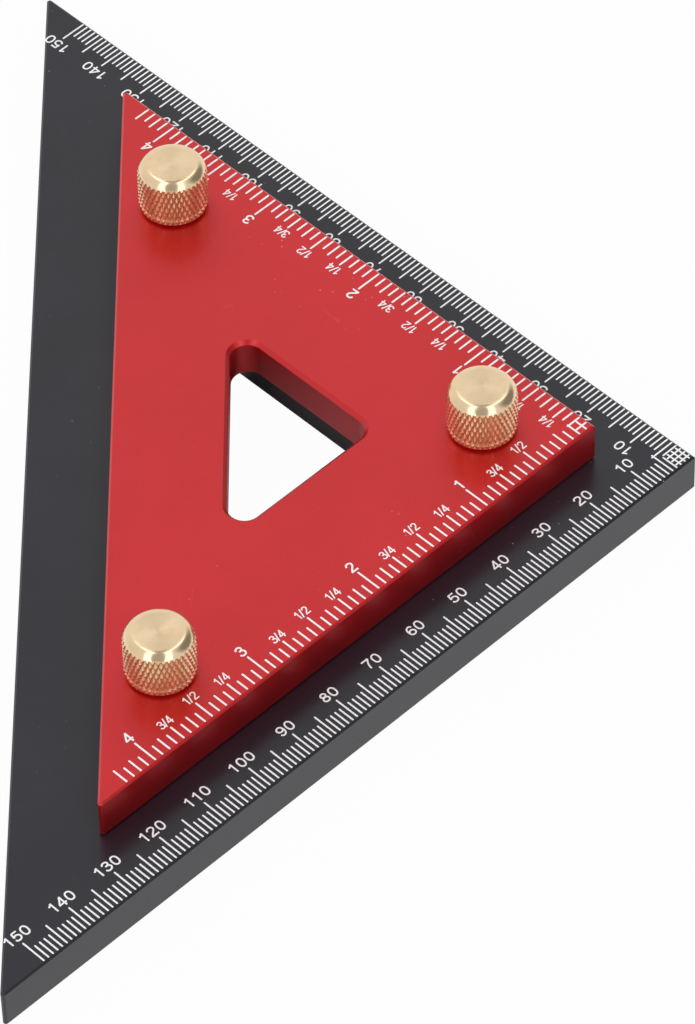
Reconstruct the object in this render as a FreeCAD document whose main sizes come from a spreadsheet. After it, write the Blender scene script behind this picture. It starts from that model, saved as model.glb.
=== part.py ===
import FreeCAD, Part
import math
import os
import Sketcher
from FreeCAD import Placement, Rotation, Vector

# Two flat right-angled squares of anodised aluminium, a large and a small one, are stacked with
# their straight edges parallel. Three knurled thumbscrews clamp the small one on the large one.
# The large square lies on Z = 0 with its long edge along Y and its right angle pointing to +X.

# Lengths are in millimetres. An inset is the distance from both straight edges of a plate, and a
# margin the distance from its long edge.
driving_sizes = {
    "large_leg": 160.0,  # past the end of the 150 mm scale
    "large_thickness": 8.0,
    "large_window_inset": 35.55,
    "large_window_margin": 27.7,
    "small_leg": 115.0,  # past the end of the 4 1/4 inch scale
    "small_thickness": 8.0,
    "small_step": 12.0,  # from a straight edge of the large square to the small one's
    "small_window_inset": 26.5,
    "small_window_margin": 19.7,
    "small_window_bevel": 0.7,
    "window_radius": 3.0,
    "edge_bevel": 0.35,
    "tip_radius": 0.5,
    "hole_bevel": 0.3,
    "knob_inset": 13.4,  # on the small square
    "knob_tip_distance": 26.9,  # from its acute tip, along the straight edge
    "head_diameter": 12.2,
    "head_height": 10.0,  # above the small square
    "head_clearance": 0.1,  # between the small square and the head's rim
    "dome_radius": 1.8,
    "base_bevel": 0.8,
    "knurl_count": 40.0,
    "knurl_depth": 0.4,
    "knurl_row": 1.25,  # from one row of diamonds to the next, staggered one
    "washer_diameter": 9.0,
    "washer_thickness": 0.5,
    "washer_clearance": 0.08,
    "tail_diameter": 5.0,  # of the stud, pressed into the head
    "tail_length": 5.5,
    "shoulder_diameter": 6.0,
    "shoulder_clearance": 0.03,
    "shoulder_reach": 1.3,  # into the large square
    "relief_diameter": 4.1,
    "relief_length": 0.8,
    "thread_diameter": 4.9,
    "thread_clearance": 0.05,
    "tip_bevel": 0.5,
    "tip_setback": 0.8,  # of the stud's end above the underside
    "bush_diameter": 8.0,
    "bush_setback": 0.2,  # inside both faces of the large square
    "socket_depth": 1.5,  # in the bush, for the shoulder, from the top of the large square
}

doc = FreeCAD.newDocument("stacked_squares")
sheet = doc.addObject("Spreadsheet::Sheet", "size")
for row, (alias, number) in enumerate(driving_sizes.items(), start=1):
    sheet.set("A%d" % row, alias)
    sheet.set("B%d" % row, str(number))
    sheet.setAlias("B%d" % row, alias)
doc.recompute()


def value(expression):
    return float(sheet.evalExpression(expression))


def add_sketch(body, name, role):
    plane = next(plane for plane in body.Origin.OriginFeatures if plane.Role == role)
    sketch = body.newObject("Sketcher::SketchObject", name)
    sketch.AttachmentSupport = (plane, [""])
    sketch.MapMode = "FlatFace"
    return sketch


def hold_point(sketch, item, end, x, y):
    """Tie one point of a drawn item to x and y, each an expression, or "0" for the axis."""
    for axis, kind, expression in ((-2, "DistanceX", x), (-1, "DistanceY", y)):
        if expression == "0":
            sketch.addConstraint(Sketcher.Constraint("PointOnObject", item, end, axis))
        else:
            distance = Sketcher.Constraint(kind, -1, 1, item, end, value(expression))
            index = sketch.addConstraint(distance)
            sketch.setExpression("Constraints[%d]" % index, expression)


def draw_outline(sketch, corners):
    """Draw a closed outline of straight lines through corners, each a pair of expressions."""
    points = [Vector(value(x), value(y), 0) for x, y in corners]
    count = len(points)
    for index, start in enumerate(points):
        sketch.addGeometry(Part.LineSegment(start, points[(index + 1) % count]), False)
    for index in range(count):
        sketch.addConstraint(Sketcher.Constraint("Coincident", index, 2, (index + 1) % count, 1))
    for index, (x, y) in enumerate(corners):
        hold_point(sketch, index, 1, x, y)


def triangle(inset, leg):
    """Give the corners of a right-angled triangle with its legs along both axes."""
    if inset == "0":
        return [("0", "0"), (leg, "0"), ("0", leg)]
    far = "%s + %s" % (inset, leg)
    return [(inset, inset), (far, inset), (inset, far)]


def cut_through(body, sketch, name):
    before = body.Tip.Shape.Volume
    pocket = body.newObject("PartDesign::Pocket", name)
    pocket.Profile = sketch
    pocket.Type = "ThroughAll"
    pocket.Reversed = True
    doc.recompute()
    if pocket.Shape.Volume > before - 1:
        raise RuntimeError(name + " cuts nothing")


def dress(body, kind, name, size, expression, chosen):
    """Round ("Fillet") or bevel ("Chamfer") the edges for which chosen(edge) is true."""
    base = body.Tip
    edges = enumerate(base.Shape.Edges, start=1)
    names = ["Edge%d" % number for number, edge in edges if chosen(edge)]
    feature = body.newObject("PartDesign::" + kind, name)
    feature.Base = (base, names)
    feature.setExpression(size, expression)
    doc.recompute()


def is_upright(edge):
    return isinstance(edge.Curve, Part.Line) and abs(edge.tangentAt(edge.FirstParameter).z) > 0.99


def in_flat_faces(shape, takes_wire):
    """Choose the edges of each wire of the top and the bottom face that takes_wire accepts."""
    edges = []
    for face in shape.Faces:
        if isinstance(face.Surface, Part.Plane) and abs(face.normalAt(0, 0).z) > 0.99:
            for wire in face.Wires:
                if takes_wire(face, wire):
                    edges.extend(wire.Edges)
    return lambda edge: any(edge.isSame(other) for other in edges)


def is_outline(face, wire):
    return wire.isSame(face.OuterWire)


def is_hole(face, wire):
    return len(wire.Edges) == 1


def is_window(face, wire):
    return not is_outline(face, wire) and not is_hole(face, wire)


def place(thing, x, y, z, angle=0.0):
    thing.Placement = Placement(Vector(0, 0, 0), Rotation(Vector(0, 0, 1), angle))
    for axis, expression in (("x", x), ("y", y), ("z", z)):
        thing.setExpression("Placement.Base." + axis, expression)


def make_plate(name, leg, thickness, window_inset, window_margin, window_bevel, hole_inset,
               hole_radius):
    """Make a square's plate with its right angle at the origin and its legs along X and Y."""
    body = doc.addObject("PartDesign::Body", name)
    body.Label = name
    outline = add_sketch(body, name + "_outline", "XY_Plane")
    draw_outline(outline, triangle("0", leg))
    blank = body.newObject("PartDesign::Pad", name + "_blank")
    blank.Profile = outline
    blank.setExpression("Length", thickness)
    doc.recompute()
    dress(body, "Fillet", name + "_tips", "Radius", "size.tip_radius",
          lambda edge: is_upright(edge)
          and max(edge.CenterOfMass.x, edge.CenterOfMass.y) > value(leg) / 2)

    window = add_sketch(body, name + "_window_outline", "XY_Plane")
    window_leg = "%s - 2 * %s - sqrt(2) * %s" % (leg, window_inset, window_margin)
    draw_outline(window, triangle(window_inset, window_leg))
    cut_through(body, window, name + "_window")
    dress(body, "Fillet", name + "_window_corners", "Radius", "size.window_radius",
          lambda edge: is_upright(edge)
          and min(edge.CenterOfMass.x, edge.CenterOfMass.y) > value(window_inset) / 2)

    circles = add_sketch(body, name + "_hole_circles", "XY_Plane")
    far = "%s + %s" % (hole_inset, knob_pitch)
    centres = ((hole_inset, hole_inset), (far, hole_inset), (hole_inset, far))
    for index, (x, y) in enumerate(centres):
        centre = Vector(value(x), value(y), 0)
        circles.addGeometry(Part.Circle(centre, Vector(0, 0, 1), value(hole_radius)), False)
        hold_point(circles, index, 3, x, y)
        radius = Sketcher.Constraint("Radius", index, value(hole_radius))
        circles.setExpression("Constraints[%d]" % circles.addConstraint(radius), hole_radius)
    cut_through(body, circles, name + "_holes")

    for part_name, takes_wire, bevel in (
            ("_rim", is_outline, "size.edge_bevel"),
            ("_window_rim", is_window, window_bevel),
            ("_hole_rims", is_hole, "size.hole_bevel")):
        dress(body, "Chamfer", name + part_name, "Size", bevel,
              in_flat_faces(body.Tip.Shape, takes_wire))
    return body


def turn(name, profile):
    """Turn a body about its Z axis from a profile of (radius, height) expressions."""
    body = doc.addObject("PartDesign::Body", name)
    body.Label = name
    sketch = add_sketch(body, name + "_profile", "XZ_Plane")
    draw_outline(sketch, profile)
    revolution = body.newObject("PartDesign::Revolution", name + "_turned")
    revolution.Profile = sketch
    revolution.ReferenceAxis = (sketch, ["V_Axis"])
    revolution.Angle = 360.0
    doc.recompute()
    return body


def is_circle_at(radius, height):
    """Choose the turned edge with this radius at this height, both expressions."""
    def chosen(edge):
        return (isinstance(edge.Curve, Part.Circle)
                and abs(edge.Curve.Radius - value(radius)) < 0.001
                and abs(edge.Curve.Center.z - value(height)) < 0.001)
    return chosen


corner_x = "size.large_leg / sqrt(2) / 2"
small_top = "size.large_thickness + size.small_thickness"
knob_step = "size.small_step + size.knob_inset"
knob_pitch = "(size.small_leg - size.knob_inset - size.knob_tip_distance)"

# Heights of the knob's pieces are measured from the top of the small square.
head_radius = "size.head_diameter / 2"
washer_radius = "size.washer_diameter / 2"
tail_radius = "size.tail_diameter / 2"
shoulder_radius = "size.shoulder_diameter / 2"
relief_radius = "size.relief_diameter / 2"
thread_radius = "size.thread_diameter / 2"
bush_radius = "size.bush_diameter / 2"
recess_radius = washer_radius + " + size.washer_clearance"
washer_bore = shoulder_radius + " + size.washer_clearance"
shoulder_hole = shoulder_radius + " + size.shoulder_clearance"
thread_bore = thread_radius + " + size.thread_clearance"
tail_top = "size.washer_thickness + size.tail_length"
shoulder_end = "-(size.small_thickness + size.shoulder_reach)"
relief_end = shoulder_end + " - size.relief_length"
tip = "size.tip_setback - size.small_thickness - size.large_thickness"


def make_head_blank():
    """Make a head with no bore: staggered diamonds, each a low pyramid, run up under its dome."""
    radius = value(head_radius)
    groove = radius - value("size.knurl_depth")
    rim = value("size.head_clearance")
    first_row = rim + value("size.base_bevel")
    dome = value("size.dome_radius")
    shoulder = value("size.head_height") - dome
    row_count = round((shoulder - first_row) / value("size.knurl_row"))
    spacing = (shoulder - first_row) / row_count
    dome_bands = 3
    around = 2 * int(value("size.knurl_count"))

    limits = [(rim, radius - value("size.base_bevel"))]
    limits += [(first_row + row * spacing, radius) for row in range(row_count + 1)]
    for band in range(1, dome_bands + 1):
        angle = math.pi / 2 * band / dome_bands
        limits.append((shoulder + dome * math.sin(angle), radius - dome + dome * math.cos(angle)))

    points = []
    for height, limit in limits:
        for step in range(around):
            crest_share = abs(((height - first_row) / spacing + step) % 2 - 1)
            reach = min(limit, groove + (radius - groove) * crest_share)
            angle = 2 * math.pi * step / around
            points.append(Vector(reach * math.cos(angle), reach * math.sin(angle), height))

    def at(ring, step):
        return ring * around + step % around

    triangles = []
    for ring in range(len(limits) - 1):
        for step in range(around):
            low, low_next = at(ring, step), at(ring, step + 1)
            high, high_next = at(ring + 1, step), at(ring + 1, step + 1)
            if (ring + step) % 2 == 1:
                triangles += [(low, low_next, high), (low_next, high_next, high)]
            else:
                triangles += [(low, high_next, high), (low, low_next, high_next)]
    for ring, order in ((0, -1), (len(limits) - 1, 1)):
        centre = len(points)
        points.append(Vector(0, 0, limits[ring][0]))
        for step in range(around):
            triangles.append((centre,) + (at(ring, step), at(ring, step + 1))[::order])

    shell = Part.Shape()
    shell.makeShapeFromMesh((points, triangles), 0.001)
    blank = doc.addObject("Part::Feature", "head_blank")
    blank.Shape = Part.Solid(Part.Shell(shell.Faces)).removeSplitter()
    return blank


def make_head_bore():
    """Make what is bored out of a head: the washer's recess, and the hole for the stud's tail."""
    return turn("head_bore", [
        ("0", "0"),
        (recess_radius, "0"),
        (recess_radius, "size.washer_thickness"),
        (tail_radius, "size.washer_thickness"),
        (tail_radius, tail_top),
        ("0", tail_top)])


def make_head(name, blank, bore):
    head = doc.addObject("Part::Cut", name)
    head.Base = blank
    head.Tool = bore
    return head


def make_stud(name):
    stud = turn(name, [
        ("0", tail_top),
        (tail_radius, tail_top),
        (tail_radius, "size.washer_thickness"),
        (shoulder_radius, "size.washer_thickness"),
        (shoulder_radius, shoulder_end),
        (relief_radius, shoulder_end),
        (relief_radius, relief_end),
        (thread_radius, relief_end),
        (thread_radius, tip),
        ("0", tip)])
    dress(stud, "Chamfer", name + "_tip", "Size", "size.tip_bevel",
          is_circle_at(thread_radius, tip))
    return stud


def make_washer(name):
    return turn(name, [
        (washer_bore, "0"),
        (washer_radius, "0"),
        (washer_radius, "size.washer_thickness"),
        (washer_bore, "size.washer_thickness")])


def make_bush(name):
    """Make a bush with a socket for the stud's shoulder, measured from the underside."""
    top = "size.large_thickness - size.bush_setback"
    socket_floor = "size.large_thickness - size.socket_depth"
    return turn(name, [
        (thread_bore, "size.bush_setback"),
        (bush_radius, "size.bush_setback"),
        (bush_radius, top),
        (shoulder_hole, top),
        (shoulder_hole, socket_floor),
        (thread_bore, socket_floor)])


large_plate = make_plate("large_plate", "size.large_leg", "size.large_thickness",
                         "size.large_window_inset", "size.large_window_margin",
                         "size.edge_bevel", knob_step, bush_radius)
place(large_plate, corner_x, "0", "0", 135.0)
small_plate = make_plate("small_plate", "size.small_leg", "size.small_thickness",
                         "size.small_window_inset", "size.small_window_margin",
                         "size.small_window_bevel", "size.knob_inset", shoulder_hole)
place(small_plate, corner_x + " - sqrt(2) * size.small_step", "0", "size.large_thickness", 135.0)
nodes = [large_plate, small_plate]

head_blank = make_head_blank()
head_bore = make_head_bore()
near_x = "%s - sqrt(2) * (%s)" % (corner_x, knob_step)
far_x = near_x + " - %s / sqrt(2)" % knob_pitch
side_y = knob_pitch + " / sqrt(2)"
for where, x, y in (("corner", near_x, "0"), ("front", far_x, "-" + side_y),
                    ("rear", far_x, side_y)):
    for piece, z in (
            (make_head("knob_head_" + where, head_blank, head_bore), small_top),
            (make_stud("knob_stud_" + where), small_top),
            (make_washer("knob_washer_" + where), small_top),
            (make_bush("thread_bush_" + where), "0")):
        place(piece, x, y, z)
        nodes.append(piece)
doc.recompute()

for item in doc.Objects:
    if "Invalid" in item.State or "Error" in item.State:
        raise RuntimeError(item.Name + " has an error")
os.makedirs("parts", exist_ok=True)
for node in nodes:
    shape = node.Shape
    if shape.isNull() or not shape.isValid() or len(shape.Solids) != 1:
        raise RuntimeError(node.Label + " is not one sound solid")
    shape.exportStep("parts/%s.step" % node.Label)
    print("%s %.1f mm3" % (node.Label, shape.Volume))
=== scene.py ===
import math

import bmesh
import bpy
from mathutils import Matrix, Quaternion, Vector


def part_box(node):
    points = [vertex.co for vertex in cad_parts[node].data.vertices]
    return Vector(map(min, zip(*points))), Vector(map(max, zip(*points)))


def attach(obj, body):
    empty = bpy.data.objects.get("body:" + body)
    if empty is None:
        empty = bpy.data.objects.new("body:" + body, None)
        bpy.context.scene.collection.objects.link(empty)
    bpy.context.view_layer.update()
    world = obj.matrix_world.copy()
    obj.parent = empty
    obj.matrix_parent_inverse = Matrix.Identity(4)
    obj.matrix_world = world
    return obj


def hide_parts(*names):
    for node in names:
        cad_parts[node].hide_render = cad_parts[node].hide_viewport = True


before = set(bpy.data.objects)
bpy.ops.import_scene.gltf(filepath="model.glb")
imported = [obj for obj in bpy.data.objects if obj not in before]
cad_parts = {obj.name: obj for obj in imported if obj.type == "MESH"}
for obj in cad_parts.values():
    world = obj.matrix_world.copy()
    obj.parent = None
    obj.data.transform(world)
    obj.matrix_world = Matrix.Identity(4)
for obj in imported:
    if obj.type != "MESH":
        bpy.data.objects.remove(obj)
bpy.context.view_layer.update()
scene = bpy.context.scene
scene.view_settings.view_transform = "Standard"
mm = 0.001
print("frame loaded")


# Shader helpers. Inputs are numbers and colours, or the outputs of other nodes, to be linked.

def setInputs(tree, node, inputs):
    for key, source in inputs.items():
        if isinstance(source, bpy.types.NodeSocket):
            tree.links.new(source, node.inputs[key])
        else:
            node.inputs[key].default_value = source


def addNode(tree, kind, inputs=None, **settings):
    node = tree.nodes.new(kind)
    for key, setting in settings.items():
        setattr(node, key, setting)
    setInputs(tree, node, inputs or {})
    return node


def newMaterial(name):
    material = bpy.data.materials.new(name)
    material.use_nodes = True
    tree = material.node_tree
    place = tree.nodes.new("ShaderNodeTexCoord").outputs["Object"]
    return material, tree, tree.nodes["Principled BSDF"], place


def addNoise(tree, place, scale, detail, roughness):
    noise = addNode(tree, "ShaderNodeTexNoise", {"Vector": place, "Scale": scale,
                                                 "Detail": detail, "Roughness": roughness})
    return noise.outputs["Fac"]


def remap(tree, source, fromLow, fromHigh, toLow, toHigh):
    node = addNode(tree, "ShaderNodeMapRange",
                   {"Value": source, "From Min": fromLow, "From Max": fromHigh,
                    "To Min": toLow, "To Max": toHigh})
    return node.outputs["Result"]


def calculate(tree, operation, *terms):
    node = addNode(tree, "ShaderNodeMath", dict(enumerate(terms)), operation=operation)
    return node.outputs["Value"]


def blendNumbers(tree, factor, first, second):
    node = addNode(tree, "ShaderNodeMix", {"Factor": factor, "A": first, "B": second},
                   data_type="FLOAT")
    return node.outputs["Result"]


def opaque(colour):
    return (*colour, 1.0)


def blendColours(tree, factor, first, second):
    node = addNode(tree, "ShaderNodeMix", {"Factor": factor, "A": first, "B": second},
                   data_type="RGBA")
    return node.outputs["Result"]


# A bump that the shader shows. A second one goes on top of the first one's normal.
def addBump(tree, height, shader, depth, strength, normal=None):
    inputs = {"Height": height, "Distance": depth, "Strength": strength}
    if normal:
        inputs["Normal"] = normal
    bump = addNode(tree, "ShaderNodeBump", inputs)
    setInputs(tree, shader, {"Normal": bump.outputs["Normal"]})
    return bump.outputs["Normal"]


# A wave texture of scale 1 repeats every pi / 10
def waveScale(spacing):
    return math.pi / 10 / spacing


# Anodised aluminium: fine blasted metal, seen through a dyed oxide with a sheen of its own.
# Each noise is its scale, detail and roughness, and each range is where an effect on it starts
# and where it is full.

blackAnodise = {
    "metal": 0.0,  # the black dye hides the metal
    "colour": (0.0085, 0.0080, 0.0140),
    "paler": (0.0135, 0.0130, 0.0205),  # in faint clouds
    "dust": (0.50, 0.50, 0.55),
    "roughness": (0.50, 0.60),
}
redAnodise = {
    "metal": 1.0,
    "colour": (0.600, 0.0008, 0.0050),
    "paler": (0.650, 0.0030, 0.0080),
    "dust": (0.95, 0.55, 0.55),
    "roughness": (0.48, 0.56),
}
oxide = {
    "ior": 1.5,
    "sheenRoughness": 0.28,
    "clouds": (45.0, 4.0, 0.6),
    "cloudRange": (0.35, 0.70),
    "wiped": (160.0, 5.0, 0.65),
    "wipedRange": (0.3, 0.7),
    "grain": (9000.0, 2.0, 0.5),
    "grainDepth": 0.0022 * mm,
    "grainStrength": 0.6,
}
wear = {
    "handled": (24.0, 3.0, 0.6),
    "handledRange": (0.52, 0.66),
    "elsewhere": 0.12,  # share of the wear where the tool isn't handled
    "dustCells": 900.0,
    "dustReach": (0.07, 0.13),  # from a cell's middle to where a speck is full, and gone
    "dustChance": (0.84, 1.0),
    "dustStrength": 0.95,
    "scratchTurn": 0.5,  # radians
    "scratchStretch": 0.16,
    "scratchCells": 420.0,
    "scratchReach": (0.004, 0.016),  # from a cell's border
    "scratchPatches": (130.0, 3.0, 0.7),
    "scratchRange": (0.58, 0.70),
    "scratchStrength": 0.10,
}


def addWear(tree, place):
    handled = remap(tree, addNoise(tree, place, *wear["handled"]), *wear["handledRange"],
                    wear["elsewhere"], 1.0)

    # A speck of dust is the middle of a cell, in a few of the cells
    cells = addNode(tree, "ShaderNodeTexVoronoi",
                    {"Vector": place, "Scale": wear["dustCells"], "Randomness": 1.0})
    dot = remap(tree, cells.outputs["Distance"], *wear["dustReach"], 1.0, 0.0)
    chance = addNode(tree, "ShaderNodeSeparateColor", {"Color": cells.outputs["Color"]})
    chosen = remap(tree, chance.outputs["Red"], *wear["dustChance"], 0.0, wear["dustStrength"])

    # A hairline scratch is the border of a long, thin cell, where a patch of noise shows it
    turned = addNode(tree, "ShaderNodeMapping",
                     {"Vector": place, "Rotation": (0.0, 0.0, wear["scratchTurn"]),
                      "Scale": (1.0, wear["scratchStretch"], 1.0)})
    borders = addNode(tree, "ShaderNodeTexVoronoi",
                      {"Vector": turned.outputs["Vector"], "Scale": wear["scratchCells"],
                       "Randomness": 1.0}, feature="DISTANCE_TO_EDGE")
    hairline = remap(tree, borders.outputs["Distance"], *wear["scratchReach"], 1.0, 0.0)
    shown = remap(tree, addNoise(tree, place, *wear["scratchPatches"]), *wear["scratchRange"],
                  0.0, wear["scratchStrength"])

    marks = calculate(tree, "MAXIMUM", calculate(tree, "MULTIPLY", dot, chosen),
                      calculate(tree, "MULTIPLY", hairline, shown))
    return calculate(tree, "MULTIPLY", marks, handled)


def anodisedMaterial(name, settings):
    material, tree, shader, place = newMaterial(name)
    clouds = addNoise(tree, place, *oxide["clouds"])
    colour = blendColours(tree, remap(tree, clouds, *oxide["cloudRange"], 0.0, 1.0),
                          opaque(settings["colour"]), opaque(settings["paler"]))
    wiped = addNoise(tree, place, *oxide["wiped"])
    setInputs(tree, shader, {
        "Base Color": blendColours(tree, addWear(tree, place), colour,
                                   opaque(settings["dust"])),
        "Roughness": remap(tree, wiped, *oxide["wipedRange"], *settings["roughness"]),
        "Metallic": settings["metal"],
        "Specular IOR Level": 0.0,
        "Coat Weight": 1.0,
        "Coat IOR": oxide["ior"],
        "Coat Roughness": oxide["sheenRoughness"],
    })
    grain = addNoise(tree, place, *oxide["grain"])
    addBump(tree, grain, shader, oxide["grainDepth"], oxide["grainStrength"])
    return material


# Turned brass: a faced disc with fine rings, a polished dome, and a knurl that is plain brass on
# its points and a darker, less metallic brown in its grooves, which is painted shade in its
# hollows

brass = {
    "colour": (0.860, 0.660, 0.425),
    "tarnish": (0.780, 0.540, 0.310),
    "stains": (420.0, 4.0, 0.6),
    "stainRange": (0.45, 0.80),
    "stainStrength": 0.55,
    "discRadius": 4.2 * mm,
    "discFade": 0.1 * mm,
    # The grooves' darker brown and their lower metal are painted shade in the knurl's hollows
    "grooves": (0.600, 0.290, 0.110),
    "grooveShadeMetal": 0.72,
    "groovesEnd": 8.9 * mm,  # above the small square
    "groovesFade": 0.5 * mm,
    "grooveReach": (5.64 * mm, 5.90 * mm),  # how far from the axis the painted groove shade is full, and gone
    "roughness": {"disc": 0.22, "dome": 0.15, "points": 0.28, "grooves": 0.40},
    "unevenRange": (0.3, 0.7),
    "unevenness": (-0.03, 0.04),  # what the stains add to the roughness
    "ringSpacing": 0.13 * mm,
    "ringDepth": 0.0060 * mm,
    "ringWobble": {"Distortion": 0.6, "Detail": 1.0, "Detail Scale": 2.0},
    "pits": (1500.0, 3.0, 0.55),
    "pitDepth": 0.003 * mm,
    "pitStrength": 0.6,
}


def brassMaterial(name, foot):
    material, tree, shader, place = newMaterial(name)
    fromFoot = addNode(tree, "ShaderNodeVectorMath", {0: place, 1: foot},
                       operation="SUBTRACT").outputs["Vector"]
    height = addNode(tree, "ShaderNodeSeparateXYZ", {"Vector": fromFoot}).outputs["Z"]
    flat = addNode(tree, "ShaderNodeVectorMath", {0: fromFoot, 1: (1.0, 1.0, 0.0)},
                   operation="MULTIPLY").outputs["Vector"]
    fromAxis = addNode(tree, "ShaderNodeVectorMath", {0: flat},
                       operation="LENGTH").outputs["Value"]
    onDisc = remap(tree, fromAxis, brass["discRadius"], brass["discRadius"] + brass["discFade"],
                   1.0, 0.0)
    onKnurl = remap(tree, height, brass["groovesEnd"] - brass["groovesFade"],
                    brass["groovesEnd"], 1.0, 0.0)
    # Painted shade in the grooves: full below the crests, and gone towards them
    paintedGrooveShade = calculate(tree, "MULTIPLY", onKnurl,
                         remap(tree, fromAxis, *brass["grooveReach"], 1.0, 0.0))

    stains = addNoise(tree, place, *brass["stains"])
    stained = blendColours(
        tree, remap(tree, stains, *brass["stainRange"], 0.0, brass["stainStrength"]),
        opaque(brass["colour"]), opaque(brass["tarnish"]))
    finish = brass["roughness"]
    roughness = remap(tree, onDisc, 0.0, 1.0, finish["dome"], finish["disc"])
    roughness = blendNumbers(tree, onKnurl, roughness, finish["points"])
    roughness = blendNumbers(tree, paintedGrooveShade, roughness, finish["grooves"])
    uneven = remap(tree, stains, *brass["unevenRange"], *brass["unevenness"])
    setInputs(tree, shader, {
        "Base Color": blendColours(tree, paintedGrooveShade, stained, opaque(brass["grooves"])),
        "Metallic": remap(tree, paintedGrooveShade, 0.0, 1.0, 1.0, brass["grooveShadeMetal"]),
        "Roughness": calculate(tree, "ADD", roughness, uneven),
    })

    rings = addNode(tree, "ShaderNodeTexWave",
                    {"Vector": fromFoot, "Scale": waveScale(brass["ringSpacing"]),
                     **brass["ringWobble"]},
                    wave_type="RINGS", rings_direction="Z", wave_profile="SIN")
    faced = calculate(tree, "MULTIPLY", rings.outputs["Fac"], onDisc)
    ringed = addBump(tree, faced, shader, brass["ringDepth"], 1.0)
    pits = addNoise(tree, place, *brass["pits"])
    addBump(tree, pits, shader, brass["pitDepth"], brass["pitStrength"], ringed)
    return material


# Turned steel, nylon and the white filling of the marks

steel = {
    "colour": (0.56, 0.56, 0.58),
    "film": (700.0, 4.0, 0.6),
    "filmRange": (0.3, 0.7),
    "roughness": (0.24, 0.40),
    "lineSpacing": 0.1122 * mm,
    "lineWobble": 0.4,
    "lineDepth": 0.002 * mm,
    "lineStrength": 0.7,
}
nylon = {
    "colour": (0.80, 0.78, 0.71),
    "roughness": 0.45,
    "glow": 0.15,  # share of light that spreads inside it
    "glowReach": 0.3 * mm,
    "grain": (3000.0, 2.0, 0.5),
    "grainDepth": 0.005 * mm,
    "grainStrength": 0.5,
}
markFilling = {
    "colour": (0.94, 0.94, 0.95),
    "shaded": (0.87, 0.87, 0.89),
    "roughness": 0.5,
    "uneven": (900.0, 3.0, 0.6),
    "shadedRange": (0.45, 0.75),
    "unevenDepth": 0.004 * mm,
    "unevenStrength": 0.5,
}


def steelMaterial():
    material, tree, shader, place = newMaterial("turned_steel")
    film = addNoise(tree, place, *steel["film"])
    setInputs(tree, shader, {
        "Base Color": opaque(steel["colour"]),
        "Metallic": 1.0,
        "Roughness": remap(tree, film, *steel["filmRange"], *steel["roughness"]),
    })
    lines = addNode(tree, "ShaderNodeTexWave",
                    {"Vector": place, "Scale": waveScale(steel["lineSpacing"]),
                     "Distortion": steel["lineWobble"]},
                    wave_type="BANDS", bands_direction="Z", wave_profile="SIN")
    addBump(tree, lines.outputs["Fac"], shader, steel["lineDepth"], steel["lineStrength"])
    return material


def nylonMaterial():
    material, tree, shader, place = newMaterial("natural_nylon")
    setInputs(tree, shader, {
        "Base Color": opaque(nylon["colour"]),
        "Subsurface Weight": nylon["glow"],
        "Subsurface Scale": nylon["glowReach"],
        "Roughness": nylon["roughness"],
    })
    grain = addNoise(tree, place, *nylon["grain"])
    addBump(tree, grain, shader, nylon["grainDepth"], nylon["grainStrength"])
    return material


def fillingMaterial():
    material, tree, shader, place = newMaterial("white_filling")
    uneven = addNoise(tree, place, *markFilling["uneven"])
    shaded = remap(tree, uneven, *markFilling["shadedRange"], 0.0, 1.0)
    setInputs(tree, shader, {
        "Base Color": blendColours(tree, shaded, opaque(markFilling["colour"]),
                                   opaque(markFilling["shaded"])),
        "Roughness": markFilling["roughness"],
    })
    addBump(tree, uneven, shader, markFilling["unevenDepth"], markFilling["unevenStrength"])
    return material


blackMetal = anodisedMaterial("black_anodised", blackAnodise)
redMetal = anodisedMaterial("red_anodised", redAnodise)
steelMetal = steelMaterial()
nylonPlastic = nylonMaterial()
whiteFilling = fillingMaterial()


def dressNode(name, material):
    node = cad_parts[name]
    for slot in node.material_slots:
        slot.material = material


dressNode("large_plate", blackMetal)
dressNode("small_plate", redMetal)
print("materials ready")


# Mesh helpers

def addPiece(name, mesh, material, body, sharpAngle=None):
    bmesh.ops.recalc_face_normals(mesh, faces=mesh.faces)
    data = bpy.data.meshes.new(name)
    mesh.to_mesh(data)
    mesh.free()
    data.materials.append(material)
    if sharpAngle:
        data.polygons.foreach_set("use_smooth", [True] * len(data.polygons))
        data.set_sharp_from_angle(angle=math.radians(sharpAngle))
    piece = bpy.data.objects.new(name, data)
    scene.collection.objects.link(piece)
    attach(piece, body)
    return piece


def steps(start, end, spacing):
    count = max(1, round(abs(end - start) / spacing))
    return [start + (end - start) * step / count for step in range(count + 1)]


# Turn a profile of (radius, height) about an upright axis. It starts and ends on the axis, or
# else it is a closed ring. relief(angle, radius, height) gives the radius that a cut leaves.
def addTurned(mesh, centre, profile, around, relief):
    rings = []
    for radius, height in profile:
        ring = []
        for step in range(around if radius > 0 else 1):
            angle = 2 * math.pi * step / around
            reach = relief(angle, radius, height)
            ring.append(mesh.verts.new(centre + Vector((reach * math.cos(angle),
                                                        reach * math.sin(angle), height))))
        rings.append(ring)
    pairs = list(zip(rings, rings[1:]))
    if profile[0][0] > 0:
        pairs.append((rings[-1], rings[0]))
    for first, second in pairs:
        for step in range(around):
            after = (step + 1) % around
            if len(first) == 1:
                mesh.faces.new((first[0], second[step], second[after]))
            elif len(second) == 1:
                mesh.faces.new((first[after], first[step], second[0]))
            else:
                # Split along the deeper diagonal, so that grooves stay straight
                a, b, c, d = first[step], second[step], second[after], first[after]
                reaches = [(corner.co - centre).xy.length for corner in (a, b, c, d)]
                if reaches[0] + reaches[2] < reaches[1] + reaches[3]:
                    mesh.faces.new((a, b, c))
                    mesh.faces.new((a, c, d))
                else:
                    mesh.faces.new((a, b, d))
                    mesh.faces.new((b, c, d))


# Thumbscrew heads: knurled brass under a turned dome. Heights are above the small square.

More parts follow.
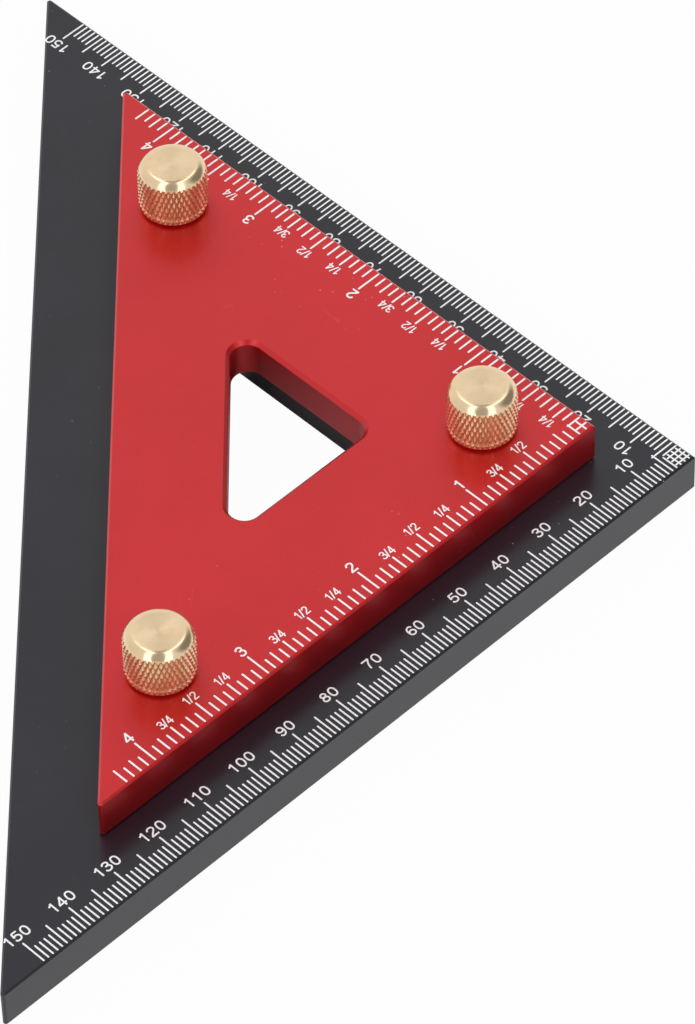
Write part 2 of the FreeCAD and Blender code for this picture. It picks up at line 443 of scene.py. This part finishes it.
headLow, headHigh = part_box("knob_head_corner")
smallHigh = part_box("small_plate")[1]
largeLow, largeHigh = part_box("large_plate")
head = {
    "radius": (headHigh.x - headLow.x) / 2,
    "top": headHigh.z - smallHigh.z,
    "rim": headLow.z - smallHigh.z,
    "dome": 2.65 * mm,  # from its shoulder to the top
    "domeStep": 0.05,  # radians
    "discRadius": 3.95 * mm,
    "discRings": (0.97, 0.85, 0.7, 0.5, 0.3, 0.15),  # shares of its radius
    "baseBevel": 0.8 * mm,
    "bevelStep": 0.15 * mm,
    "knurlCount": 40,
    "knurlDepth": 0.41 * mm,
    "diamondHeight": 2.433 * mm,
    "rowShift": 0.25,  # share of that height
    "intoDome": 1.9 * mm,  # how far up the grooves are meshed in the dome
    "runOut": 0.9 * mm,  # where the grooves get shallower, at the foot
    "runOutDepth": 0.8,  # share of the depth that they keep there
    "samples": 8,  # mesh steps along each diamond, each way
    "recessRadius": 4.58 * mm,
    "recessTop": 0.5 * mm,
    "boreRadius": 2.5 * mm,
    "boreTop": 6.0 * mm,
    "sharpAngle": 28,  # degrees
}
head["shoulder"] = head["top"] - head["dome"]
head["firstRow"] = head["rim"] + head["baseBevel"]


# Two sets of V grooves that wind opposite ways leave rows of pyramids. The dome cuts them off.
def knurlRelief(angle, radius, height):
    turn = angle / (2 * math.pi) * head["knurlCount"]
    rise = (height - head["firstRow"]) / head["diamondHeight"] + head["rowShift"]
    left = 1 - abs(2 * ((turn + rise) % 1) - 1)
    right = 1 - abs(2 * ((turn - rise) % 1) - 1)
    fromFoot = (height - head["firstRow"]) / head["runOut"]
    depth = head["knurlDepth"] * min(1.0, max(head["runOutDepth"], fromFoot))
    return min(radius, head["radius"] - depth * (1 - min(left, right)))


def headProfile():
    radius, shoulder = head["radius"], head["shoulder"]
    profile = [(0, head["boreTop"]), (head["boreRadius"], head["boreTop"]),
               (head["boreRadius"], head["recessTop"]),
               (head["recessRadius"], head["recessTop"]),
               (head["recessRadius"], head["rim"])]
    for height in steps(head["rim"], head["firstRow"], head["bevelStep"])[:-1]:
        profile.append((radius - (head["firstRow"] - height), height))
    # The dome is a quarter of an ellipse, from the shoulder to the flat top
    reach = radius - head["discRadius"]
    height = head["firstRow"]
    while height < shoulder + head["intoDome"]:
        leaning = math.asin(max(0.0, height - shoulder) / head["dome"])
        profile.append((head["discRadius"] + reach * math.cos(leaning), height))
        height += head["diamondHeight"] / head["samples"]
    for leaning in steps(math.asin((height - shoulder) / head["dome"]), math.pi / 2,
                         head["domeStep"]):
        profile.append((head["discRadius"] + reach * math.cos(leaning),
                        shoulder + head["dome"] * math.sin(leaning)))
    for share in head["discRings"]:
        profile.append((head["discRadius"] * share, head["top"]))
    profile.append((0, head["top"]))
    return profile


def makeHead(where):
    low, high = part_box("knob_head_" + where)
    axis = Vector(((low.x + high.x) / 2, (low.y + high.y) / 2, smallHigh.z))
    mesh = bmesh.new()
    addTurned(mesh, axis, headProfile(), head["knurlCount"] * head["samples"], knurlRelief)
    piece = addPiece("brass_head_" + where, mesh, brassMaterial("brass_" + where, axis),
                     "knob_" + where, head["sharpAngle"])
    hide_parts("knob_head_" + where)
    return axis


# Studs and bushes: a cut thread, 0.8 mm a turn

stud = {  # heights are above the small square
    "tailRadius": 2.5 * mm,
    "tailTop": 6.0 * mm,
    "shoulderRadius": 3.0 * mm,
    "shoulderTop": 0.5 * mm,
    "shoulderEnd": -9.3 * mm,
    "reliefRadius": 2.05 * mm,
    "reliefEnd": -10.1 * mm,
    "threadRadius": 2.45 * mm,
    "tip": -15.2 * mm,
    "tipBevel": 0.5 * mm,
    "cornerBevel": 0.2 * mm,
}
bush = {  # heights are above the large square's underside
    "radius": 4.0 * mm,
    "bottom": 0.2 * mm,
    "top": 7.8 * mm,
    "socketRadius": 3.03 * mm,
    "socketFloor": 6.5 * mm,
    "boreRadius": 2.5 * mm,
    "mouthRadius": 2.85 * mm,
    "mouthDepth": 0.3 * mm,
    "bevel": 0.25 * mm,
}
thread = {
    "pitch": 0.8 * mm,
    "depth": 0.42 * mm,
    "crest": 0.2,  # share of the pitch that is flat
    "around": 48,
    "samples": 8,  # mesh steps along the pitch
    "sharpAngle": 32,  # degrees
}


# 0 at the bottom of the thread's groove and 1 on its crest, a right-hand helix
def threadWave(angle, height):
    phase = (height / thread["pitch"] - angle / (2 * math.pi)) % 1
    return min(1.0, abs(2 * phase - 1) / (1 - thread["crest"]))


def makeStud(where, axis):
    s = stud
    spacing = thread["pitch"] / thread["samples"]
    profile = [(0, s["tailTop"]), (s["tailRadius"], s["tailTop"]),
               (s["tailRadius"], s["shoulderTop"]), (s["shoulderRadius"], s["shoulderTop"]),
               (s["shoulderRadius"], s["shoulderEnd"] + s["cornerBevel"]),
               (s["shoulderRadius"] - s["cornerBevel"], s["shoulderEnd"]),
               (s["reliefRadius"], s["shoulderEnd"]), (s["reliefRadius"], s["reliefEnd"])]
    for height in steps(s["reliefEnd"] - s["cornerBevel"], s["tip"] + s["tipBevel"], spacing):
        profile.append((s["threadRadius"], height))
    profile += [(s["threadRadius"] - s["tipBevel"], s["tip"]), (0, s["tip"])]

    def relief(angle, radius, height):
        if radius != s["threadRadius"]:
            return radius
        return radius - thread["depth"] * (1 - threadWave(angle, height))

    mesh = bmesh.new()
    addTurned(mesh, axis, profile, thread["around"], relief)
    piece = addPiece("steel_stud_" + where, mesh, steelMetal, "knob_" + where,
                     thread["sharpAngle"])
    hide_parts("knob_stud_" + where)


def makeBush(where, axis):
    b = bush
    spacing = thread["pitch"] / thread["samples"]
    profile = [(b["mouthRadius"], b["bottom"]),
               (b["radius"] - b["bevel"], b["bottom"]), (b["radius"], b["bottom"] + b["bevel"]),
               (b["radius"], b["top"] - b["bevel"]), (b["radius"] - b["bevel"], b["top"]),
               (b["socketRadius"] + b["bevel"], b["top"]),
               (b["socketRadius"], b["top"] - b["bevel"]), (b["socketRadius"], b["socketFloor"]),
               (b["mouthRadius"], b["socketFloor"])]
    for height in steps(b["socketFloor"] - b["mouthDepth"], b["bottom"] + b["mouthDepth"],
                        spacing):
        profile.append((b["boreRadius"], height))

    def relief(angle, radius, height):
        if radius != b["boreRadius"]:
            return radius
        return radius + thread["depth"] * threadWave(angle, height)

    mesh = bmesh.new()
    underside = Vector((axis.x, axis.y, largeLow.z))
    addTurned(mesh, underside, profile, thread["around"], relief)
    piece = addPiece("steel_bush_" + where, mesh, steelMetal, "large_square",
                     thread["sharpAngle"])
    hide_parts("thread_bush_" + where)


for where in ("corner", "front", "rear"):
    knobAxis = makeHead(where)
    makeStud(where, knobAxis)
    makeBush(where, knobAxis)
    dressNode("knob_washer_" + where, nylonPlastic)
print("thumbscrews and bushes ready")


# Marks: strokes of white filling, set in the plates' top faces

stroke = {
    "proud": 0.012 * mm,  # so that it shows
    "sunk": 0.02 * mm,
    "lift": 0.0006 * mm,  # keeps strokes that cross from lying in one plane
    "endSteps": 5,  # in the rounding of a tick's ends
    "endBluntness": 0.4,  # of a step
    "ovalSteps": 28,
    "curveSteps": 5,  # between two points
}
plates = {
    "large": {"corner": largeHigh.x, "top": largeHigh.z, "body": "large_square"},
    "small": {"corner": smallHigh.x, "top": smallHigh.z, "body": "small_square"},
}
# Each leg reads from left to right along "right", with the tops of its numerals towards "up".
# The lift is for the ticks of the two legs, which cross near the right angle.
legs = {
    "rear": {"right": Vector((-1, 1, 0)).normalized(), "up": Vector((-1, -1, 0)).normalized(),
             "sign": 1, "lift": 0.0},
    "front": {"right": Vector((1, 1, 0)).normalized(), "up": Vector((-1, 1, 0)).normalized(),
              "sign": -1, "lift": stroke["lift"]},
}


# Lay a stroke along points, each (right, up) from the plate's right angle. Its sides are sunk
# into the plate.
def addStroke(mesh, plate, leg, points, halfWidths, closed, lift):
    corner = Vector((plate["corner"], 0, plate["top"] + stroke["proud"] + lift))
    count = len(points)
    rows = []
    for index, (x, y) in enumerate(points):
        before = points[index - 1] if index or closed else points[0]
        after = points[(index + 1) % count] if index < count - 1 or closed else points[-1]
        heading = Vector((after[0] - before[0], after[1] - before[1])).normalized()
        side = Vector((-heading.y, heading.x)) * halfWidths[index]
        row = []
        for sx, sy, z in ((side.x, side.y, -stroke["sunk"]), (side.x, side.y, 0),
                          (-side.x, -side.y, 0), (-side.x, -side.y, -stroke["sunk"])):
            place = corner + leg["right"] * (x + sx) + leg["up"] * (y + sy)
            row.append(mesh.verts.new(place + Vector((0, 0, z))))
        rows.append(row)
    pairs = list(zip(rows, rows[1:])) + ([(rows[-1], rows[0])] if closed else [])
    for first, second in pairs:
        for edge in range(4):
            other = (edge + 1) % 4
            mesh.faces.new((first[edge], first[other], second[other], second[edge]))
    if not closed:
        mesh.faces.new(rows[0][::-1])
        mesh.faces.new(rows[-1])


# A mark with round ends, square to a leg's edge
def addTick(mesh, plate, leg, along, near, far, width):
    radius = width / 2
    points, halfWidths = [], []
    last = stroke["endSteps"] - 1 + stroke["endBluntness"]
    for end, sense in ((near, 1), (far, -1)):
        rounding = []
        for step in range(stroke["endSteps"]):
            angle = math.pi / 2 * (step + stroke["endBluntness"]) / last
            rounding.append((end + sense * radius * (1 - math.cos(angle)),
                             radius * math.sin(angle)))
        for up, halfWidth in rounding[::sense]:
            points.append((leg["sign"] * along, up))
            halfWidths.append(halfWidth)
    addStroke(mesh, plate, leg, points, halfWidths, False, leg["lift"])


# A closed stroke. A squareness of 2 is an ellipse, and more has straighter sides.
def oval(x, y, radiusX, radiusY, squareness):
    points = []
    for step in range(stroke["ovalSteps"]):
        angle = 2 * math.pi * step / stroke["ovalSteps"]
        c, s = math.cos(angle), math.sin(angle)
        points.append((x + radiusX * math.copysign(abs(c) ** (2 / squareness), c),
                       y + radiusY * math.copysign(abs(s) ** (2 / squareness), s)))
    return {"points": points, "closed": True}


def line(*points):
    return {"points": list(points), "closed": False}


# An open stroke that runs smoothly through its points
def curve(*points):
    ends = [points[0], *points, points[-1]]
    path = []
    for a, b, c, d in zip(ends, ends[1:], ends[2:], ends[3:]):
        for step in range(stroke["curveSteps"]):
            t = step / stroke["curveSteps"]
            path.append(tuple(
                0.5 * (2 * q + (r - p) * t + (2 * p - 5 * q + 4 * r - s) * t * t
                       + (3 * q - p - 3 * r + s) * t ** 3)
                for p, q, r, s in zip(a, b, c, d)))
    path.append(points[-1])
    return {"points": path, "closed": False}


# The strokes' middle lines, for numerals 1 unit high
numerals = {
    "advance": 0.78,
    "slashAdvance": 0.49,
    "0": [oval(0.387, 0.5, 0.258, 0.428, 2.3)],
    "1": [line((0.455, 0.0), (0.455, 1.0)),
          curve((0.44, 0.95), (0.37, 0.86), (0.28, 0.785), (0.17, 0.73))],
    "2": [curve((0.115, 0.70), (0.155, 0.83), (0.26, 0.91), (0.39, 0.928), (0.53, 0.89),
                (0.615, 0.78), (0.60, 0.63), (0.50, 0.49), (0.34, 0.345), (0.20, 0.20),
                (0.125, 0.06)),
          line((0.05, 0.07), (0.705, 0.07))],
    "3": [curve((0.125, 0.74), (0.20, 0.87), (0.37, 0.93), (0.54, 0.88), (0.60, 0.745),
                (0.53, 0.60), (0.38, 0.545), (0.27, 0.545)),
          curve((0.30, 0.545), (0.48, 0.535), (0.62, 0.43), (0.645, 0.28), (0.55, 0.12),
                (0.37, 0.07), (0.20, 0.12), (0.115, 0.26))],
    "4": [line((0.525, 0.98), (0.075, 0.30)), line((0.02, 0.29), (0.72, 0.29)),
          line((0.515, 0.0), (0.515, 1.0))],
    "5": [line((0.655, 0.93), (0.20, 0.93)), line((0.225, 0.96), (0.155, 0.50)),
          curve((0.14, 0.47), (0.25, 0.585), (0.41, 0.615), (0.58, 0.53), (0.645, 0.345),
                (0.57, 0.15), (0.38, 0.07), (0.20, 0.12), (0.115, 0.26))],
    "6": [oval(0.40, 0.315, 0.245, 0.245, 2.0),
          curve((0.64, 0.77), (0.55, 0.89), (0.41, 0.93), (0.25, 0.86), (0.155, 0.68),
                (0.135, 0.45), (0.155, 0.31))],
    "7": [line((0.06, 0.93), (0.70, 0.93)),
          curve((0.66, 0.90), (0.50, 0.68), (0.38, 0.42), (0.32, 0.20), (0.30, 0.0))],
    "8": [oval(0.388, 0.735, 0.205, 0.193, 2.0), oval(0.388, 0.295, 0.250, 0.225, 2.0)],
    "9": [oval(0.376, 0.685, 0.245, 0.245, 2.0),
          curve((0.136, 0.23), (0.226, 0.11), (0.366, 0.07), (0.526, 0.14), (0.621, 0.32),
                (0.641, 0.55), (0.621, 0.69))],
    "/": [line((0.03, -0.02), (0.39, 1.02))],
}


# Write text in a style, with its middle at the tick and its foot this far in from the edge
def addNumber(mesh, plate, leg, text, along, foot, style):
    height = style["height"]
    advances = [numerals["slashAdvance" if sign == "/" else "advance"] * style["spacing"]
                for sign in text]
    x = leg["sign"] * along - sum(advances) * height / 2
    for sign, advance in zip(text, advances):
        for index, form in enumerate(numerals[sign]):
            points = [(x + px * height * style["width"], foot + py * height)
                      for px, py in form["points"]]
            halfWidths = [style["weight"] / 2] * len(points)
            addStroke(mesh, plate, leg, points, halfWidths, form["closed"],
                      stroke["lift"] * (index + 1))
        x += advance * height


# Ticks run from near to far, and numerals stand on their foot, all from the leg's edge. How far
# a tick runs depends on what its count divides by.
millimetreScale = {
    "last": 150,
    "numeralEvery": 10,
    "near": 0.38 * mm,
    "far": {5: 5.48 * mm, 1: 3.78 * mm},
    "width": 0.31 * mm,
    "foot": 6.08 * mm,
    "style": {"height": 2.08 * mm, "width": 1.10, "spacing": 1.10, "weight": 0.31 * mm},
    "lastShift": 0.25 * mm,  # keeps the last figures on the plate
}
inchScale = {
    "sixteenth": 25.4 / 16 * mm,
    "inch": 16,  # sixteenths, like the counts below
    "last": 68,
    "near": 0.45 * mm,
    "far": {16: 5.50 * mm, 8: 4.50 * mm, 4: 3.75 * mm, 2: 3.50 * mm, 1: 3.00 * mm},
    "width": 0.34 * mm,
    "foot": 5.90 * mm,
    "style": {"height": 2.20 * mm, "width": 1.0, "spacing": 1.0, "weight": 0.33 * mm},
    # Each fraction has its numerals and their foot
    "fractions": {4: ("1/4", 4.15 * mm), 8: ("1/2", 4.90 * mm), 12: ("3/4", 4.15 * mm)},
    "fractionStyle": {"height": 1.76 * mm, "width": 0.88, "spacing": 0.79,
                      "weight": 0.235 * mm},
    "unlabelled": {"rear": (68,), "front": (4, 68)},  # fractions without numerals
}


def makeMillimetreScale(side):
    plate, leg, scale = plates["large"], legs[side], millimetreScale
    ticks, figures = bmesh.new(), bmesh.new()
    for count in range(1, scale["last"] + 1):
        far = next(reach for each, reach in scale["far"].items() if count % each == 0)
        addTick(ticks, plate, leg, count * mm, scale["near"], far, scale["width"])
        if count % scale["numeralEvery"] == 0:
            shift = scale["lastShift"] if count == scale["last"] else 0.0
            addNumber(figures, plate, leg, str(count), count * mm - shift, scale["foot"],
                      scale["style"])
    addPiece("millimetre_ticks_" + side, ticks, whiteFilling, plate["body"])
    addPiece("millimetre_figures_" + side, figures, whiteFilling, plate["body"])


def makeInchScale(side):
    plate, leg, scale = plates["small"], legs[side], inchScale
    ticks, figures = bmesh.new(), bmesh.new()
    for count in range(1, scale["last"] + 1):
        along = count * scale["sixteenth"]
        far = next(reach for each, reach in scale["far"].items() if count % each == 0)
        addTick(ticks, plate, leg, along, scale["near"], far, scale["width"])
        inches, rest = divmod(count, scale["inch"])
        if rest == 0:
            addNumber(figures, plate, leg, str(inches), along, scale["foot"], scale["style"])
        elif rest in scale["fractions"] and count not in scale["unlabelled"][side]:
            text, foot = scale["fractions"][rest]
            addNumber(figures, plate, leg, text, along, foot, scale["fractionStyle"])
    addPiece("inch_ticks_" + side, ticks, whiteFilling, plate["body"])
    addPiece("inch_figures_" + side, figures, whiteFilling, plate["body"])


for side in legs:
    makeMillimetreScale(side)
    makeInchScale(side)
print("scales ready")


# Floor: a white sheet. The camera sees it plain white, and so do reflections, apart from a disc
# around the windows, under the tool, where a painted shade fades the glow out of reflections,
# and they see the sheet's own lit colour with its real shadows.

floorSheet = {
    "size": 4.0,
    "below": 0.02 * mm,
    "colour": (0.68, 0.68, 0.68),
    "roughness": 0.9,
    "glow": 0.97,  # share of plain white that shows
    "glowInPaintedShade": 0.03,  # and in reflections, inside the painted shade around the windows
    "windowMiddle": Vector((-8.0, 0.0, 0.0)) * mm,
    "paintedShadeReach": (28.0 * mm, 36.0 * mm),
}


def makeFloor():
    half = floorSheet["size"] / 2
    mesh = bmesh.new()
    corners = [mesh.verts.new((x, y, 0)) for x, y in
               ((-half, -half), (half, -half), (half, half), (-half, half))]
    mesh.faces.new(corners)
    data = bpy.data.meshes.new("floor")
    mesh.to_mesh(data)
    mesh.free()
    floor = bpy.data.objects.new("floor", data)
    scene.collection.objects.link(floor)
    floor.location.z = largeLow.z - floorSheet["below"]

    material, tree, shader, place = newMaterial("white_sheet")
    setInputs(tree, shader, {"Base Color": opaque(floorSheet["colour"]),
                             "Roughness": floorSheet["roughness"], "Specular IOR Level": 0.0})
    white = addNode(tree, "ShaderNodeEmission", {"Color": (1, 1, 1, 1), "Strength": 1.0})
    rays = tree.nodes.new("ShaderNodeLightPath").outputs
    seen = calculate(tree, "MAXIMUM", rays["Is Camera Ray"], rays["Is Transmission Ray"])
    direct = calculate(tree, "MULTIPLY", seen, floorSheet["glow"])
    # Around the windows, reflections lose the glow: a painted shade where the tool's shadow
    # falls. Inside it they see the sheet's own grey and its real shadows
    fromWindow = addNode(tree, "ShaderNodeVectorMath",
                         {0: place, 1: floorSheet["windowMiddle"]}, operation="DISTANCE")
    reflected = remap(tree, fromWindow.outputs["Value"], *floorSheet["paintedShadeReach"],
                      floorSheet["glowInPaintedShade"], floorSheet["glow"])
    share = calculate(tree, "MULTIPLY_ADD", rays["Is Glossy Ray"], reflected, direct)
    mix = addNode(tree, "ShaderNodeMixShader", {"Fac": share, 1: shader.outputs["BSDF"],
                                                2: white.outputs["Emission"]})
    setInputs(tree, tree.nodes["Material Output"], {"Surface": mix.outputs["Shader"]})
    data.materials.append(material)


# Light: a pale surround with a dark side, and two strip lights that lean over the tool, one each
# side of the camera, from low in front to overhead and on towards the back. Azimuths and
# elevations are in degrees, and a brightness of 1 is plain white. The other numbers are shares,
# of which 1 is straight to the side, straight up or straight back.

surround = {
    "sides": 0.84,
    "back": 0.93,
    "backRange": (0.1, 0.6),
}
darkSide = {
    "azimuth": 15,
    "elevation": 28,
    "halfWidth": 30,
    "softness": 0.3,  # of the edge, as a share of the half width
    "brightness": 0.26,
}
strips = {
    "between": -92,  # azimuth of the line between them
    "front": 0.536,  # how far to the side each one's middle is, here and in the next two
    "overhead": 0.19,
    "behind": 0.27,
    "halfWidth": (0.09, 0.234),  # overhead, and in front
    "edge": (0.75, 1.15),  # where it is full, and gone, as shares of the half width
    "foot": (0.02, 0.10),  # how high they start, and are full
    "backEnd": (0.45, 0.62),  # how far back they begin to fade, and are gone
    "brightness": 2.1,
    "gap": 0.45,  # brightness between them
    "gapEdge": (-1.0, -0.5),  # from the strips' middles, in half widths: full, and gone
    "gapFoot": (0.1, 0.3),
}


def direction(azimuth, elevation):
    a, e = math.radians(azimuth), math.radians(elevation)
    return Vector((math.cos(e) * math.cos(a), math.cos(e) * math.sin(a), math.sin(e)))


def makeWorld():
    world = bpy.data.worlds.new("studio")
    scene.world = world
    world.use_nodes = True
    tree = world.node_tree
    towards = tree.nodes.new("ShaderNodeTexCoord").outputs["Generated"]

    # 1 straight towards a direction, 0 square to it
    def share(azimuth, elevation):
        node = addNode(tree, "ShaderNodeVectorMath",
                       {0: towards, 1: direction(azimuth, elevation)}, operation="DOT_PRODUCT")
        return node.outputs["Value"]

    back = share(90, 0)
    level = remap(tree, back, *surround["backRange"], surround["sides"], surround["back"])
    half, soft = math.radians(darkSide["halfWidth"]), darkSide["softness"]
    dark = remap(tree, share(darkSide["azimuth"], darkSide["elevation"]),
                 math.cos(half * (1 + soft)), math.cos(half * (1 - soft)), 0.0, 1.0)
    level = blendNumbers(tree, dark, level, darkSide["brightness"])

    sideways = calculate(tree, "ABSOLUTE", share(strips["between"] + 90, 0))
    forward = calculate(tree, "MAXIMUM", share(strips["between"], 0), 0.0)
    behind = calculate(tree, "MAXIMUM", back, 0.0)
    up = share(0, 90)
    middle = calculate(tree, "MULTIPLY_ADD", up, strips["overhead"],
                       calculate(tree, "MULTIPLY", forward, strips["front"]))
    middle = calculate(tree, "MULTIPLY_ADD", behind, strips["behind"], middle)
    narrow, wide = strips["halfWidth"]
    width = calculate(tree, "MULTIPLY_ADD", forward, wide - narrow, narrow)
    outwards = calculate(tree, "DIVIDE", calculate(tree, "SUBTRACT", sideways, middle), width)
    ends = calculate(tree, "MULTIPLY", remap(tree, up, *strips["foot"], 0.0, 1.0),
                     remap(tree, back, *strips["backEnd"], 1.0, 0.0))
    gapEnds = calculate(tree, "MULTIPLY", ends, remap(tree, up, *strips["gapFoot"], 0.0, 1.0))
    inGap = calculate(tree, "MULTIPLY", gapEnds,
                      remap(tree, outwards, *strips["gapEdge"], 1.0, 0.0))
    level = blendNumbers(tree, inGap, level, strips["gap"])
    across = remap(tree, calculate(tree, "ABSOLUTE", outwards), *strips["edge"], 1.0, 0.0)
    inStrip = calculate(tree, "MULTIPLY", across, ends)
    level = blendNumbers(tree, inStrip, level, strips["brightness"])

    rays = tree.nodes.new("ShaderNodeLightPath").outputs
    seen = blendNumbers(tree, rays["Is Camera Ray"], level, 1.0)
    setInputs(tree, tree.nodes["Background"], {"Color": (1, 1, 1, 1), "Strength": seen})


view = {
    "place": Vector((14.31, -732.25, 823.70)) * mm,
    "aim": Vector((-2.07, -11.74, 8.00)) * mm,
    "roll": -1.558,  # degrees, about the line of sight
    "lens": 228.335,
    "sensor": 36.0,
    "clip": (0.01, 20.0),
}


def makeCamera():
    data = bpy.data.cameras.new("camera")
    data.lens = view["lens"]
    data.sensor_width = view["sensor"]
    data.clip_start, data.clip_end = view["clip"]
    camera = bpy.data.objects.new("camera", data)
    turn = (view["place"] - view["aim"]).to_track_quat("Z", "Y")
    roll = Quaternion((0, 0, 1), math.radians(view["roll"]))
    camera.rotation_mode = "QUATERNION"
    camera.rotation_quaternion = turn @ roll
    camera.location = view["place"]
    scene.collection.objects.link(camera)
    scene.camera = camera


makeFloor()
makeWorld()
makeCamera()
print("floor, light and camera ready")
